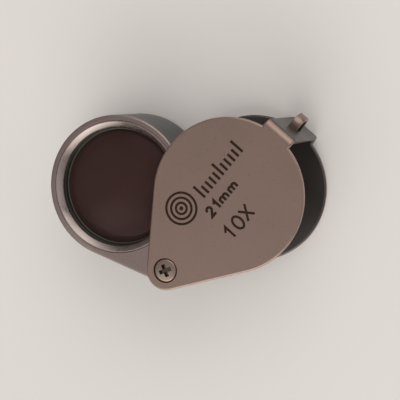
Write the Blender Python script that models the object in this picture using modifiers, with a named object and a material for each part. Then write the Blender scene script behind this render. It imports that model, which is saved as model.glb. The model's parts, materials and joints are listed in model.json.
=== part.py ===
"""Folding hand lens: a cemented triplet in a swinging metal holder, carried by a U-bent sheet cover.

Metres, +Z up.  The lens lies on the back plate of its cover.  The origin is the centre of the cover's
round end on that plate's outer face, +X runs from the pivot towards the bridge, +Z is the optical axis.
"""

import math

import bmesh
import bpy
from mathutils import Matrix

MM = 0.001

# Lens
LENS_R = 10.5 * MM
LENS_RECESS = 0.35 * MM
OUTER_SAG = 2.4 * MM
FLINT_CENTRE = 1.4 * MM
CROWN_EDGE = 0.8 * MM
GLASS_BEVEL = 0.15 * MM
CEMENT = 0.03 * MM

# Holder
SEAT_STEP = 0.9 * MM
HOLDER_WALL = 0.95 * MM
HOLDER_END_R = 3.05 * MM
FACE_CLEAR = 1.6 * MM
HOLDER_EDGE = 0.25 * MM
BOSS_R = 2.7 * MM

# Rings that hold the glass
BEZEL_DEPTH = 1.45 * MM
BEZEL_LAND = 0.2 * MM
BEZEL_CONE = 0.9 * MM
BEZEL_LIP = 0.2 * MM
STOP_OVERLAP = 0.40 * MM
STOP_EDGE = 0.25 * MM

# Cover
SHEET = 1.0 * MM
HEIGHT = 18.0 * MM
RIM_MARGIN = 0.6 * MM
COVER_END_R = 3.4 * MM
PIVOT_SETBACK = 4.5 * MM
BRIDGE_CLEAR = 1.0 * MM
BRIDGE_W = 5.7 * MM
BEND_INNER_R = 0.4 * MM
COVER_EDGE = 0.22 * MM

# Pivot
OPEN_ANGLE = math.radians(75.5)
SCREW_R = 1.0 * MM
SCREW_HEAD_R = 1.82 * MM
SCREW_DOME = 0.28 * MM
SCREW_LENGTH = 7.0 * MM
GROOVE = 0.24 * MM
RECESS_R = 1.05 * MM
RECESS_W = 0.58 * MM
RECESS_DEPTH = 0.75 * MM
POST_WALL = 0.55 * MM
POST_HEAD_STEP = 0.43 * MM
POST_SLOT_W = 0.5 * MM
POST_SLOT_DEPTH = 0.35 * MM
BUSHING_WALL = 0.45 * MM
WASHER_T = 0.3 * MM
SPRING_T = 0.16 * MM
SPRING_WAVE = 0.1 * MM
SPRING_CRESTS = 3

# Lanyard loop
LOOP_W = 1.6 * MM
LOOP_T = 0.6 * MM
LOOP_R = 1.7 * MM
LOOP_REACH = 2.65 * MM
LOOP_FOOT = 0.75 * MM

# Clearances
FIT = 0.05 * MM
STACK_GAP = 0.03 * MM

STEPS_LARGE = 64
STEPS_SMALL = 36
MERGE = 0.000001

# Sizes that follow from the ones above
BORE_R = LENS_R + FIT
THREAD_R = BORE_R + SEAT_STEP
HOLDER_R = THREAD_R + HOLDER_WALL
COVER_R = HOLDER_R + RIM_MARGIN
PIVOT_REACH = HOLDER_R + PIVOT_SETBACK
BRIDGE_INNER_X = HOLDER_R + BRIDGE_CLEAR
BRIDGE_OUTER_X = BRIDGE_INNER_X + SHEET
MID_Z = HEIGHT / 2
INNER_TOP_Z = HEIGHT - SHEET
HOLDER_TOP_Z = INNER_TOP_Z - FACE_CLEAR
HOLDER_BOTTOM_Z = SHEET + FACE_CLEAR
POST_R = SCREW_R + FIT + POST_WALL
BUSHING_INNER_R = POST_R + FIT
BUSHING_R = BUSHING_INNER_R + BUSHING_WALL
SPRING_SPACE = SPRING_T + 2 * SPRING_WAVE
BOSS_TOP_Z = INNER_TOP_Z - WASHER_T - SPRING_SPACE - 3 * STACK_GAP
BOSS_BOTTOM_Z = HEIGHT - BOSS_TOP_Z


def new_collection(name):
    collection = bpy.data.collections.new(name)
    bpy.context.scene.collection.children.link(collection)
    return collection


def new_material(name, color, roughness, metallic):
    material = bpy.data.materials.new(name)
    material.use_nodes = True
    shader = material.node_tree.nodes["Principled BSDF"]
    shader.inputs["Base Color"].default_value = (*color, 1.0)
    shader.inputs["Roughness"].default_value = roughness
    shader.inputs["Metallic"].default_value = metallic
    return material


def add_object(name, mesh, collection):
    obj = bpy.data.objects.new(name, mesh)
    collection.objects.link(obj)
    return obj


def add_cutter(name, mesh):
    cutter = add_object(name, mesh, cutters)
    cutter.hide_render = True
    cutter.display_type = "WIRE"
    return cutter


def place(obj, location, parent):
    obj.parent = parent
    obj.location = location


def arc_points(cx, cy, radius, start, end, count):
    points = []
    for i in range(count + 1):
        angle = start + (end - start) * i / count
        points.append((cx + radius * math.cos(angle), cy + radius * math.sin(angle)))
    return points


def teardrop_points(big_r, small_r, reach):
    """Outline of two discs joined by their outer tangents, small disc at x = 0, large disc at x = reach."""
    lean = math.acos((small_r - big_r) / reach)
    big = arc_points(reach, 0.0, big_r, -lean, lean, 60)
    small = arc_points(0.0, 0.0, small_r, lean, 2 * math.pi - lean, 18)
    return big + small


def strip_points(path, thickness):
    """Closed outline of a strip of even thickness along an open path, with mitred corners."""
    left = []
    right = []
    last = len(path) - 1
    for i, (x, y) in enumerate(path):
        ax, ay = path[max(i - 1, 0)]
        bx, by = path[min(i + 1, last)]
        ux, uy = x - ax, y - ay
        vx, vy = bx - x, by - y
        if i == 0:
            ux, uy = vx, vy
        if i == last:
            vx, vy = ux, uy
        u_len = math.hypot(ux, uy)
        v_len = math.hypot(vx, vy)
        nx = -(uy / u_len + vy / v_len)
        ny = ux / u_len + vx / v_len
        scale = thickness / (nx * nx + ny * ny)
        left.append((x + nx * scale, y + ny * scale))
        right.append((x - nx * scale, y - ny * scale))
    return left + right[::-1]


def extruded_mesh(name, points, thickness, turn=None):
    """Flat outline in X and Y, thickened evenly about its plane, as a welded mesh."""
    curve = bpy.data.curves.new(name + "_outline", "CURVE")
    curve.dimensions = "2D"
    curve.fill_mode = "BOTH"
    curve.extrude = thickness / 2
    spline = curve.splines.new("POLY")
    spline.points.add(len(points) - 1)
    for point, (x, y) in zip(spline.points, points):
        point.co = (x, y, 0.0, 1.0)
    spline.use_cyclic_u = True
    holder = bpy.data.objects.new(name + "_outline", curve)
    bpy.context.scene.collection.objects.link(holder)
    depsgraph = bpy.context.evaluated_depsgraph_get()
    mesh = bpy.data.meshes.new_from_object(holder.evaluated_get(depsgraph))
    mesh.name = name
    bpy.data.objects.remove(holder)
    shape = bmesh.new()
    shape.from_mesh(mesh)
    bmesh.ops.remove_doubles(shape, verts=shape.verts, dist=MERGE)
    if turn is not None:
        bmesh.ops.transform(shape, matrix=turn, verts=shape.verts)
    bmesh.ops.recalc_face_normals(shape, faces=shape.faces)
    shape.to_mesh(mesh)
    shape.free()
    return mesh


def turned_object(name, profile, closed, steps, collection):
    """Profile of (radius, height) pairs turned about Z; it runs down its outer side."""
    mesh = bpy.data.meshes.new(name)
    vertices = [(r, 0.0, z) for r, z in profile]
    edges = [(i, i + 1) for i in range(len(profile) - 1)]
    if closed:
        edges.append((len(profile) - 1, 0))
    mesh.from_pydata(vertices, edges, [])
    obj = add_object(name, mesh, collection)
    screw = obj.modifiers.new("turn", "SCREW")
    screw.axis = "Z"
    screw.angle = 2 * math.pi
    screw.steps = steps
    screw.render_steps = steps
    screw.use_merge_vertices = True
    screw.merge_threshold = MERGE
    return obj


def turned_cutter(name, profile, steps):
    cutter = turned_object(name, profile, False, steps, cutters)
    cutter.hide_render = True
    cutter.display_type = "WIRE"
    return cutter


def box_mesh(name, size_x, size_y, size_z):
    mesh = bpy.data.meshes.new(name)
    shape = bmesh.new()
    bmesh.ops.create_cube(shape, size=1.0)
    bmesh.ops.scale(shape, vec=(size_x, size_y, size_z), verts=shape.verts)
    shape.to_mesh(mesh)
    shape.free()
    return mesh


def cylinder_mesh(name, radius, height, steps):
    mesh = bpy.data.meshes.new(name)
    shape = bmesh.new()
    bmesh.ops.create_cone(
        shape, cap_ends=True, segments=steps, radius1=radius, radius2=radius, depth=height
    )
    shape.to_mesh(mesh)
    shape.free()
    return mesh


def add_boolean(obj, cutter, operation):
    boolean = obj.modifiers.new(cutter.name, "BOOLEAN")
    boolean.operation = operation
    boolean.solver = "EXACT"
    boolean.object = cutter


def add_bevel(obj, width, segments, angle):
    bevel = obj.modifiers.new("edges", "BEVEL")
    bevel.width = width
    bevel.segments = segments
    bevel.limit_method = "ANGLE"
    bevel.angle_limit = angle
    bevel.use_clamp_overlap = True


def finish(obj, material):
    obj.data.materials.append(material)
    obj.data.shade_smooth()
    obj.data.set_sharp_from_angle(angle=math.radians(30))


def sphere_arc(rim_r, sag, count):
    """(radius, drop) pairs from the crown of a spherical cap out to its rim."""
    ball_r = (rim_r * rim_r + sag * sag) / (2 * sag)
    pairs = []
    for i in range(count + 1):
        r = rim_r * i / count
        pairs.append((r, ball_r - math.sqrt(ball_r * ball_r - r * r)))
    return pairs


for old in list(bpy.data.objects):
    bpy.data.objects.remove(old, do_unlink=True)

parts = new_collection("hand_lens")
cutters = new_collection("hand_lens_cutters")

satin_steel = new_material("satin_steel", (0.58, 0.53, 0.49), 0.36, 1.0)
screw_steel = new_material("screw_steel", (0.56, 0.50, 0.46), 0.28, 1.0)
post_steel = new_material("post_steel", (0.50, 0.49, 0.48), 0.32, 1.0)
loop_steel = new_material("loop_steel", (0.66, 0.62, 0.57), 0.24, 1.0)
holder_metal = new_material("holder_metal", (0.55, 0.55, 0.56), 0.34, 1.0)
bezel_metal = new_material("bezel_metal", (0.66, 0.66, 0.67), 0.18, 1.0)
black_anodised = new_material("black_anodised", (0.02, 0.02, 0.022), 0.5, 0.0)
bushing_bronze = new_material("bushing_bronze", (0.52, 0.34, 0.16), 0.34, 1.0)
washer_brass = new_material("washer_brass", (0.62, 0.48, 0.24), 0.32, 1.0)
spring_steel = new_material("spring_steel", (0.45, 0.45, 0.46), 0.3, 1.0)
nylon = new_material("nylon", (0.72, 0.70, 0.64), 0.55, 0.0)
flint_glass = new_material("flint_glass", (0.30, 0.22, 0.20), 0.04, 0.0)
crown_glass = new_material("crown_glass", (0.32, 0.26, 0.24), 0.04, 0.0)

pivot = bpy.data.objects.new("pivot_axis", None)
parts.objects.link(pivot)
pivot.location = (-PIVOT_REACH, 0.0, 0.0)

lens_swing = bpy.data.objects.new("lens_swing", None)
parts.objects.link(lens_swing)
lens_swing.location = (-PIVOT_REACH, 0.0, 0.0)
lens_swing.rotation_euler = (0.0, 0.0, OPEN_ANGLE)

# Cover: a stamped blank of two teardrops and a strap, bent into a U.  The U is extruded across the
# width, and the upright blank outline trims it to shape.
bend_r = BEND_INNER_R + SHEET / 2
strap_x = BRIDGE_OUTER_X - SHEET / 2
far_x = -PIVOT_REACH - COVER_END_R - SHEET
top_bend = arc_points(strap_x - bend_r, HEIGHT - SHEET / 2 - bend_r, bend_r, math.pi / 2, 0.0, 6)
low_bend = arc_points(strap_x - bend_r, SHEET / 2 + bend_r, bend_r, 0.0, -math.pi / 2, 6)
u_path = [(far_x, HEIGHT - SHEET / 2)] + top_bend + low_bend + [(far_x, SHEET / 2)]
lay_on_side = Matrix.Rotation(math.pi / 2, 4, "X")
u_mesh = extruded_mesh("cover", strip_points(u_path, SHEET), 3 * COVER_R, lay_on_side)
cover = add_object("cover", u_mesh, parts)
place(cover, (0.0, 0.0, 0.0), None)

plate = teardrop_points(COVER_R, COVER_END_R, PIVOT_REACH)
plate = [(x - PIVOT_REACH, y) for x, y in plate]
corner_x = math.sqrt(COVER_R * COVER_R - BRIDGE_W * BRIDGE_W / 4)
strap_end = [
    (corner_x, -BRIDGE_W / 2),
    (BRIDGE_OUTER_X + SHEET, -BRIDGE_W / 2),
    (BRIDGE_OUTER_X + SHEET, BRIDGE_W / 2),
    (corner_x, BRIDGE_W / 2),
]
before = [p for p in plate if p[1] < -BRIDGE_W / 2 - 0.02 * MM or p[0] < 0.0 and p[1] < 0.0]
after = [p for p in plate if p[1] > BRIDGE_W / 2 + 0.02 * MM or p[0] < 0.0 and p[1] >= 0.0]
before.sort(key=lambda p: math.atan2(p[1], p[0]))
after.sort(key=lambda p: math.atan2(p[1], p[0]))
blank = before + strap_end + after
outline = add_cutter("cover_outline", extruded_mesh("cover_outline", blank, 2 * HEIGHT))
outline.location = (0.0, 0.0, MID_Z)
add_boolean(cover, outline, "INTERSECT")
add_bevel(cover, COVER_EDGE, 2, math.radians(40))

sink_r = SCREW_HEAD_R + GROOVE + FIT
through_r = SCREW_R + FIT
sink_depth = sink_r - through_r
front_hole = [
    (0.0, HEIGHT + SHEET),
    (sink_r + SHEET, HEIGHT + SHEET),
    (through_r, HEIGHT - sink_depth),
    (through_r, INNER_TOP_Z - SHEET),
    (0.0, INNER_TOP_Z - SHEET),
]
front_cut = turned_cutter("front_hole", front_hole, STEPS_SMALL)
place(front_cut, (0.0, 0.0, 0.0), pivot)
add_boolean(cover, front_cut, "DIFFERENCE")

post_hole_r = POST_R + FIT
post_sink = POST_HEAD_STEP + FIT
back_hole = [
    (0.0, 2 * SHEET),
    (post_hole_r, 2 * SHEET),
    (post_hole_r, post_sink),
    (post_hole_r + post_sink + SHEET, -SHEET),
    (0.0, -SHEET),
]
back_cut = turned_cutter("back_hole", back_hole, STEPS_SMALL)
place(back_cut, (0.0, 0.0, 0.0), pivot)
add_boolean(cover, back_cut, "DIFFERENCE")

for side, sign in (("upper", 1), ("lower", -1)):
    slot_mesh = box_mesh(side + "_slot", 4 * SHEET, LOOP_W + 2 * FIT, LOOP_T + 2 * FIT)
    slot = add_cutter(side + "_slot", slot_mesh)
    slot.location = (BRIDGE_OUTER_X - SHEET / 2, 0.0, MID_Z + sign * LOOP_R)
    add_boolean(cover, slot, "DIFFERENCE")
finish(cover, satin_steel)

# Lanyard loop: one strip bent to a D, its feet through the bridge and turned over inside.
foot_x = BRIDGE_INNER_X - LOOP_T / 2 - STACK_GAP
bow_x = BRIDGE_OUTER_X + LOOP_REACH - LOOP_R - LOOP_T / 2
bow = arc_points(bow_x, MID_Z, LOOP_R, math.pi / 2, -math.pi / 2, 14)
loop_path = [(foot_x, MID_Z + LOOP_R + LOOP_T / 2 + LOOP_FOOT), (foot_x, MID_Z + LOOP_R)]
loop_path = loop_path + bow
loop_path = loop_path + [(foot_x, MID_Z - LOOP_R), (foot_x, MID_Z - LOOP_R - LOOP_T / 2 - LOOP_FOOT)]
loop_mesh = extruded_mesh("lanyard_loop", strip_points(loop_path, LOOP_T), LOOP_W, lay_on_side)
loop = add_object("lanyard_loop", loop_mesh, parts)
add_bevel(loop, 0.08 * MM, 1, math.radians(60))
finish(loop, loop_steel)

# Pivot: a countersunk screw from the front in a threaded post from the back.
head_top = HEIGHT - 0.05 * MM
cone_top = HEIGHT - GROOVE + FIT
cone_drop = SCREW_HEAD_R - SCREW_R
screw_profile = []
for r, drop in sphere_arc(SCREW_HEAD_R - 0.02 * MM, SCREW_DOME, 5):
    screw_profile.append((r, head_top + SCREW_DOME - drop))
screw_profile.append((SCREW_HEAD_R, cone_top - FIT))
screw_profile.append((SCREW_R, cone_top - FIT - cone_drop))
screw_profile.append((SCREW_R, HEIGHT - SCREW_LENGTH + 0.3 * MM))
screw_profile.append((SCREW_R - 0.3 * MM, HEIGHT - SCREW_LENGTH))
screw_profile.append((0.0, HEIGHT - SCREW_LENGTH))
pivot_screw = turned_object("pivot_screw", screw_profile, False, STEPS_SMALL, parts)
place(pivot_screw, (0.0, 0.0, 0.0), pivot)
for i in range(2):
    blade_mesh = box_mesh("recess_%d" % i, 2 * RECESS_R, RECESS_W, 2 * RECESS_DEPTH)
    blade = add_cutter("recess_%d" % i, blade_mesh)
    place(blade, (0.0, 0.0, head_top + SCREW_DOME), pivot)
    blade.rotation_euler = (0.0, 0.0, i * math.pi / 2)
    add_boolean(pivot_screw, blade, "DIFFERENCE")
finish(pivot_screw, screw_steel)

post_low = FIT
post_top = INNER_TOP_Z - STACK_GAP
screw_bore = SCREW_R + FIT
post_profile = [
    (screw_bore, post_top),
    (POST_R, post_top),
    (POST_R, POST_HEAD_STEP + FIT),
    (POST_R + POST_HEAD_STEP, post_low),
    (0.0, post_low),
    (0.0, HEIGHT - SCREW_LENGTH - 0.5 * MM),
    (screw_bore, HEIGHT - SCREW_LENGTH - 0.5 * MM),
]
post_profile = post_profile[5:] + post_profile[:5]
pivot_post = turned_object("pivot_post", post_profile, False, STEPS_SMALL, parts)
place(pivot_post, (0.0, 0.0, 0.0), pivot)
post_slot_mesh = box_mesh("post_slot", 3 * POST_R, POST_SLOT_W, 2 * POST_SLOT_DEPTH)
post_slot = add_cutter("post_slot", post_slot_mesh)
place(post_slot, (0.0, 0.0, post_low), pivot)
post_slot.rotation_euler = (0.0, 0.0, math.radians(35))
add_boolean(pivot_post, post_slot, "DIFFERENCE")
finish(pivot_post, post_steel)

bushing_profile = [
    (BUSHING_INNER_R, BOSS_TOP_Z),
    (BUSHING_R, BOSS_TOP_Z),
    (BUSHING_R, BOSS_BOTTOM_Z),
    (BUSHING_INNER_R, BOSS_BOTTOM_Z),
]
pivot_bushing = turned_object("pivot_bushing", bushing_profile, True, STEPS_SMALL, parts)
place(pivot_bushing, (0.0, 0.0, 0.0), lens_swing)
finish(pivot_bushing, bushing_bronze)

flat_top = BOSS_TOP_Z + STACK_GAP + WASHER_T
flat_profile = [
    (BUSHING_INNER_R, flat_top),
    (BOSS_R, flat_top),
    (BOSS_R, flat_top - WASHER_T),
    (BUSHING_INNER_R, flat_top - WASHER_T),
]
front_washer = turned_object("front_washer", flat_profile, True, STEPS_SMALL, parts)
place(front_washer, (0.0, 0.0, 0.0), pivot)
finish(front_washer, washer_brass)

spring_inner = BUSHING_INNER_R + FIT
spring_base = turned_object(
    "spring_blank",
    [
        (spring_inner, SPRING_T / 2),
        (BOSS_R - FIT, SPRING_T / 2),
        (BOSS_R - FIT, -SPRING_T / 2),
        (spring_inner, -SPRING_T / 2),
    ],
    True,
    STEPS_SMALL + 8,
    parts,
)
spring_graph = bpy.context.evaluated_depsgraph_get()
spring_mesh = bpy.data.meshes.new_from_object(spring_base.evaluated_get(spring_graph))
spring_mesh.name = "spring_washer"
bpy.data.objects.remove(spring_base)
for vertex in spring_mesh.vertices:
    around = math.atan2(vertex.co.y, vertex.co.x)
    vertex.co.z += SPRING_WAVE * math.cos(SPRING_CRESTS * around)
spring_washer = add_object("spring_washer", spring_mesh, parts)
place(spring_washer, (0.0, 0.0, flat_top + STACK_GAP + SPRING_SPACE / 2), pivot)
finish(spring_washer, spring_steel)

back_top = BOSS_BOTTOM_Z - STACK_GAP
back_profile = [
    (BUSHING_INNER_R, back_top),
    (BOSS_R, back_top),
    (BOSS_R, SHEET + STACK_GAP),
    (BUSHING_INNER_R, SHEET + STACK_GAP),
]
back_washer = turned_object("back_washer", back_profile, True, STEPS_SMALL, parts)
place(back_washer, (0.0, 0.0, 0.0), pivot)
finish(back_washer, nylon)

# Holder: a solid teardrop with a boss each side of its arm and one stepped bore for the glass.
holder_points = teardrop_points(HOLDER_R, HOLDER_END_R, PIVOT_REACH)
holder_height = HOLDER_TOP_Z - HOLDER_BOTTOM_Z
to_middle = Matrix.Translation((0.0, 0.0, MID_Z))
holder_mesh = extruded_mesh("lens_holder", holder_points, holder_height, to_middle)
lens_holder = add_object("lens_holder", holder_mesh, parts)
place(lens_holder, (0.0, 0.0, 0.0), lens_swing)
add_bevel(lens_holder, HOLDER_EDGE, 2, math.radians(40))
boss_height = BOSS_TOP_Z - BOSS_BOTTOM_Z
boss = add_cutter("boss", cylinder_mesh("boss", BOSS_R, boss_height, STEPS_SMALL))
place(boss, (0.0, 0.0, MID_Z), lens_swing)
add_boolean(lens_holder, boss, "UNION")

arm_bore = add_cutter("arm_bore", cylinder_mesh("arm_bore", BUSHING_R + STACK_GAP, 2 * HEIGHT, STEPS_SMALL))
place(arm_bore, (0.0, 0.0, MID_Z), lens_swing)
add_boolean(lens_holder, arm_bore, "DIFFERENCE")

seat_drop = LENS_RECESS + OUTER_SAG - GLASS_BEVEL
seat_top = HOLDER_TOP_Z - seat_drop
seat_bottom = HOLDER_BOTTOM_Z + seat_drop
lens_bore = [
    (0.0, HOLDER_TOP_Z + HEIGHT),
    (THREAD_R, HOLDER_TOP_Z + HEIGHT),
    (THREAD_R, seat_top),
    (BORE_R, seat_top),
    (BORE_R, seat_bottom),
    (THREAD_R, seat_bottom),
    (THREAD_R, HOLDER_BOTTOM_Z - HEIGHT),
    (0.0, HOLDER_BOTTOM_Z - HEIGHT),
]
bore_cut = turned_cutter("lens_bore", lens_bore, STEPS_LARGE)
place(bore_cut, (PIVOT_REACH, 0.0, 0.0), lens_swing)
add_boolean(lens_holder, bore_cut, "DIFFERENCE")
finish(lens_holder, holder_metal)

# Glass: two flint menisci cemented to a thick biconvex crown.
apex_z = HOLDER_TOP_Z - LENS_RECESS
total_glass = 2 * (apex_z - MID_Z)
crown_centre = total_glass - 2 * FLINT_CENTRE - 2 * CEMENT
crown_sag = (crown_centre - CROWN_EDGE) / 2
crown_apex = crown_centre / 2
upper = [(r, MID_Z + crown_apex - drop) for r, drop in sphere_arc(LENS_R, crown_sag, 6)]
lower = [(r, 2 * MID_Z - z) for r, z in reversed(upper)]
crown_lens = turned_object("crown_lens", upper + lower, False, STEPS_LARGE, parts)
place(crown_lens, (PIVOT_REACH, 0.0, 0.0), lens_swing)
finish(crown_lens, crown_glass)

outer_rim = LENS_R - GLASS_BEVEL
outer_face = [(r, apex_z - drop) for r, drop in sphere_arc(outer_rim, OUTER_SAG, 6)]
edge_z = apex_z - OUTER_SAG - GLASS_BEVEL
cement_face = [(r, z + CEMENT) for r, z in upper]
front_profile = outer_face + [(LENS_R, edge_z)] + cement_face[::-1]
back_face = [(r, 2 * MID_Z - z) for r, z in front_profile[::-1]]
for name, profile in (("front_flint_lens", front_profile), ("rear_flint_lens", back_face)):
    flint = turned_object(name, profile, False, STEPS_LARGE, parts)
    place(flint, (PIVOT_REACH, 0.0, 0.0), lens_swing)
    finish(flint, flint_glass)

# Bezel rings screw in from both faces; a black stop ring under each presses on the glass.
ring_r = THREAD_R - FIT
cone_foot_r = ring_r - BEZEL_LAND
lip_r = cone_foot_r - BEZEL_CONE
bezel_low = HOLDER_TOP_Z - BEZEL_DEPTH
bezel_profile = [
    (cone_foot_r, HOLDER_TOP_Z),
    (ring_r, HOLDER_TOP_Z),
    (ring_r, bezel_low),
    (lip_r + BEZEL_LIP, bezel_low),
    (lip_r, bezel_low + BEZEL_LIP / 2),
    (lip_r, HOLDER_TOP_Z - BEZEL_CONE),
]
stop_r = LENS_R - STOP_OVERLAP
stop_top = bezel_low - STACK_GAP
stop_low = seat_top + STACK_GAP
glass_ball = (outer_rim * outer_rim + OUTER_SAG * OUTER_SAG) / (2 * OUTER_SAG)
glass_at_stop = apex_z - (glass_ball - math.sqrt(glass_ball * glass_ball - stop_r * stop_r))
stop_profile = [
    (stop_r, stop_top - STOP_EDGE),
    (stop_r + STOP_EDGE, stop_top),
    (ring_r, stop_top),
    (ring_r, stop_low),
    (LENS_R, stop_low),
    (stop_r, glass_at_stop + STACK_GAP),
]
for side in ("front", "rear"):
    ring_profiles = {"bezel_ring": bezel_profile, "stop_ring": stop_profile}
    ring_finish = {"bezel_ring": bezel_metal, "stop_ring": black_anodised}
    for kind in ("bezel_ring", "stop_ring"):
        profile = ring_profiles[kind]
        if side == "rear":
            profile = [(r, 2 * MID_Z - z) for r, z in profile[::-1]]
        ring = turned_object(side + "_" + kind, profile, True, STEPS_LARGE, parts)
        place(ring, (PIVOT_REACH, 0.0, 0.0), lens_swing)
        finish(ring, ring_finish[kind])
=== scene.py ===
"""Folding hand lens, swung out of its cover and lying on its back plate.

Metres throughout.  +X runs from the pivot to the bridge of the cover, +Z is the optical axis.
"""

import json
import math

import bmesh
import bpy
from mathutils import Matrix, Vector


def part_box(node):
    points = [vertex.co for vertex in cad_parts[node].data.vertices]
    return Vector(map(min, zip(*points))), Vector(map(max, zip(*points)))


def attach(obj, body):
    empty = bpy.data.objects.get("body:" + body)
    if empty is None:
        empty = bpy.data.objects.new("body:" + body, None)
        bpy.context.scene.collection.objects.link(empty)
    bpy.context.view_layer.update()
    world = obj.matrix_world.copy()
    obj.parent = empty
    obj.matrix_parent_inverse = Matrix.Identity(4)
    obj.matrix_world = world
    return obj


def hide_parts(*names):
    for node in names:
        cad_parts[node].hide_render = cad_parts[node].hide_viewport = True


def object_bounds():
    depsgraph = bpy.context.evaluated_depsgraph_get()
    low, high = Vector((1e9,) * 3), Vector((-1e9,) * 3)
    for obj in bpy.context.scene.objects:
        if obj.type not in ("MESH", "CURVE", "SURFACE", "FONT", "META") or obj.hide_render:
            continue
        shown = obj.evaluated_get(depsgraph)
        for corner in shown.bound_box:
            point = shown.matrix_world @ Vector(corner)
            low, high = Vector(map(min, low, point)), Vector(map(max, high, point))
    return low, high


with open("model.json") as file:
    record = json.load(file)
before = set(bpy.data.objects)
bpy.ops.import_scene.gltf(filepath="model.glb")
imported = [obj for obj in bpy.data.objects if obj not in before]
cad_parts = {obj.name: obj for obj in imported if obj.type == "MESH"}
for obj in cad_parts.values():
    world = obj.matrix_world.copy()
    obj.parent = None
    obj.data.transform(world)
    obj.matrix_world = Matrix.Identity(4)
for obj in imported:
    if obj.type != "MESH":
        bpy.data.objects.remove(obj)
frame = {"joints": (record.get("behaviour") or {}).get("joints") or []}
cad_low, cad_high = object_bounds()


# Camera: a long lens looking down on the front plate, a little from the bridge end and from one
# side, so that the back plate shows past the front one.
view = bpy.data.cameras.new("view")
view.lens = 108.66
view.sensor_width = 36.0
view.clip_start = 0.01
view.clip_end = 5.0
viewer = bpy.data.objects.new("viewer", view)
viewer.location = (0.049401, -0.032835, 0.208108)
viewer.rotation_euler = (math.radians(-5.0456), math.radians(17.9436), math.radians(-50.0673))
bpy.context.scene.collection.objects.link(viewer)
bpy.context.scene.camera = viewer
bpy.context.scene.view_settings.view_transform = "Standard"


# Table and studio: a pale matt sheet under the lens, walls that darken towards the table, four soft
# boxes round the lens, and a wide lamp overhead that lights the sheet.
MM = 0.001
TABLE_HALF = 0.6
TABLE_GAP = 0.05 * MM

table_mesh = bpy.data.meshes.new("table_top")
table_shape = bmesh.new()
bmesh.ops.create_grid(table_shape, x_segments=1, y_segments=1, size=TABLE_HALF)
table_shape.to_mesh(table_mesh)
table_shape.free()
table = bpy.data.objects.new("table_top", table_mesh)
table.location = (0.0, 0.0, cad_low.z - TABLE_GAP)
bpy.context.scene.collection.objects.link(table)
table_paper = bpy.data.materials.new("table_paper")
table_paper.use_nodes = True
paper_shader = table_paper.node_tree.nodes["Principled BSDF"]
paper_shader.inputs["Base Color"].default_value = (0.86, 0.84, 0.82, 1.0)
paper_shader.inputs["Roughness"].default_value = 0.9
paper_shader.inputs["Specular IOR Level"].default_value = 0.2
table_mesh.materials.append(table_paper)

studio = bpy.data.worlds.new("studio")
studio.use_nodes = True
bpy.context.scene.world = studio
sky = studio.node_tree
sky_place = sky.nodes.new("ShaderNodeTexCoord")
sky_split = sky.nodes.new("ShaderNodeSeparateXYZ")
sky_ramp = sky.nodes.new("ShaderNodeValToRGB")
sky.links.new(sky_place.outputs["Generated"], sky_split.inputs["Vector"])
sky.links.new(sky_split.outputs["Z"], sky_ramp.inputs["Fac"])

# Height (0 level, 1 overhead) and glow of the walls. Then each soft box: bearing, height, full glow
# within and no glow past, all in degrees, and its glow.
WALLS = ((0.0, 0.11), (0.22, 0.14), (0.5, 0.28), (0.92, 0.36))
SOFT_BOXES = (
    (-134.0, 15.0, 8.0, 38.0, 1.9),
    (18.0, 34.0, 16.0, 38.0, 1.15),
    (-165.0, 44.0, 8.0, 34.0, 0.9),
    (-52.0, 24.0, 6.0, 30.0, 0.4),
)
WARMTH = (1.0, 0.955, 0.92)
for i, (height, wall_glow) in enumerate(WALLS):
    stop = sky_ramp.color_ramp.elements[i] if i < 2 else sky_ramp.color_ramp.elements.new(height)
    stop.position = height
    stop.color = (wall_glow, wall_glow, wall_glow, 1.0)
room_light = sky_ramp.outputs["Color"]
for bearing, height, core, fade, glow in SOFT_BOXES:
    facing = sky.nodes.new("ShaderNodeVectorMath")
    facing.operation = "DOT_PRODUCT"
    east, up = math.radians(bearing), math.radians(height)
    facing.inputs[1].default_value = (
        math.cos(east) * math.cos(up),
        math.sin(east) * math.cos(up),
        math.sin(up),
    )
    spill = sky.nodes.new("ShaderNodeMapRange")
    spill.interpolation_type = "SMOOTHSTEP"
    spill.inputs["From Min"].default_value = math.cos(math.radians(fade))
    spill.inputs["From Max"].default_value = math.cos(math.radians(core))
    spill.inputs["To Max"].default_value = glow
    joined = sky.nodes.new("ShaderNodeMath")
    joined.operation = "ADD"
    sky.links.new(sky_place.outputs["Generated"], facing.inputs[0])
    sky.links.new(facing.outputs["Value"], spill.inputs["Value"])
    sky.links.new(spill.outputs["Result"], joined.inputs[0])
    sky.links.new(room_light, joined.inputs[1])
    room_light = joined.outputs["Value"]
warmed = sky.nodes.new("ShaderNodeVectorMath")
warmed.operation = "SCALE"
warmed.inputs[0].default_value = WARMTH
sky.links.new(room_light, warmed.inputs["Scale"])
sky.links.new(warmed.outputs["Vector"], sky.nodes["Background"].inputs["Color"])

table_lamp = bpy.data.lights.new("table_lamp", "AREA")
table_lamp.size = 0.5
table_lamp.energy = 1.3
table_lamp.color = (1.0, 0.97, 0.94)
lamp_hook = bpy.data.objects.new("table_lamp", table_lamp)
lamp_hook.location = (0.0, -0.1, 0.8)
lamp_hook.visible_glossy = False
bpy.context.scene.collection.objects.link(lamp_hook)


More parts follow.
